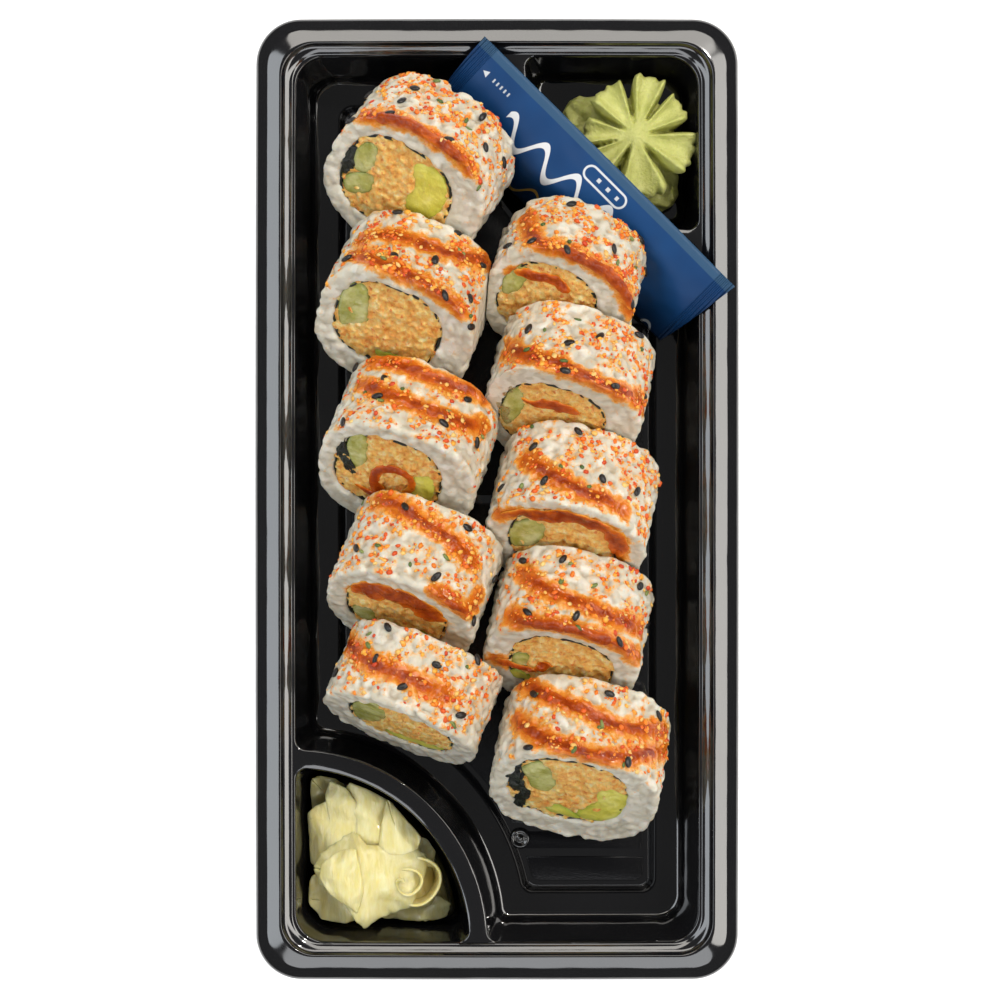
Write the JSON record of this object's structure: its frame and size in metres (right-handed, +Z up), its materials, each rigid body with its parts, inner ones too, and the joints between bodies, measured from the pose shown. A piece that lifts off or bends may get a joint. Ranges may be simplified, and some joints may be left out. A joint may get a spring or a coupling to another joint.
{
  "type": "takeaway sushi tray",
  "caption": "Black formed takeaway tray holding leaning columns of sauced inside-out sushi rolls, piped wasabi, pickled ginger and a flat sachet of soy sauce.",
  "frame": {"origin": "middle of the tray's underside, on the surface that it stands on", "axes": "+Z up; Y along the tray's long side, with the wasabi pocket at +X +Y and the ginger pocket at -X -Y; the cut faces of the rolls look towards -Y and up"},
  "size_m": [0.1158, 0.23, 0.047],
  "materials": {
    "tray": "gloss",
    "sachet": "satin printed film",
    "wasabi": "moist paste",
    "ginger": "wet, translucent",
    "rice": "moist grains",
    "nori": "damp sheet",
    "crab": "moist shreds",
    "cucumber": "wet, translucent",
    "avocado": "smooth, oily"
  },
  "bodies": {
    "root": {"tray": "tray", "sachet": "sachet", "wasabi": "wasabi", "ginger": "ginger", "rice_left_1": "rice", "rice_left_2": "rice", "rice_left_3": "rice", "rice_left_4": "rice", "rice_left_5": "rice", "rice_right_1": "rice", "rice_right_2": "rice", "rice_right_3": "rice", "rice_right_4": "rice", "rice_right_5": "rice", "nori_left_1": "nori", "nori_left_2": "nori", "nori_left_3": "nori", "nori_left_4": "nori", "nori_left_5": "nori", "nori_right_1": "nori", "nori_right_2": "nori", "nori_right_3": "nori", "nori_right_4": "nori", "nori_right_5": "nori", "crab_left_1": "crab", "crab_left_2": "crab", "crab_left_3": "crab", "crab_left_4": "crab", "crab_left_5": "crab", "crab_right_1": "crab", "crab_right_2": "crab", "crab_right_3": "crab", "crab_right_4": "crab", "crab_right_5": "crab", "cucumber_left_1": "cucumber", "cucumber_left_2": "cucumber", "cucumber_left_3": "cucumber", "cucumber_left_4": "cucumber", "cucumber_left_5": "cucumber", "cucumber_right_1": "cucumber", "cucumber_right_2": "cucumber", "cucumber_right_3": "cucumber", "cucumber_right_4": "cucumber", "cucumber_right_5": "cucumber", "avocado_left_1": "avocado", "avocado_left_2": "avocado", "avocado_left_3": "avocado", "avocado_left_4": "avocado", "avocado_left_5": "avocado", "avocado_right_1": "avocado", "avocado_right_2": "avocado", "avocado_right_3": "avocado", "avocado_right_4": "avocado", "avocado_right_5": "avocado"}
  },
  "joints": []
}
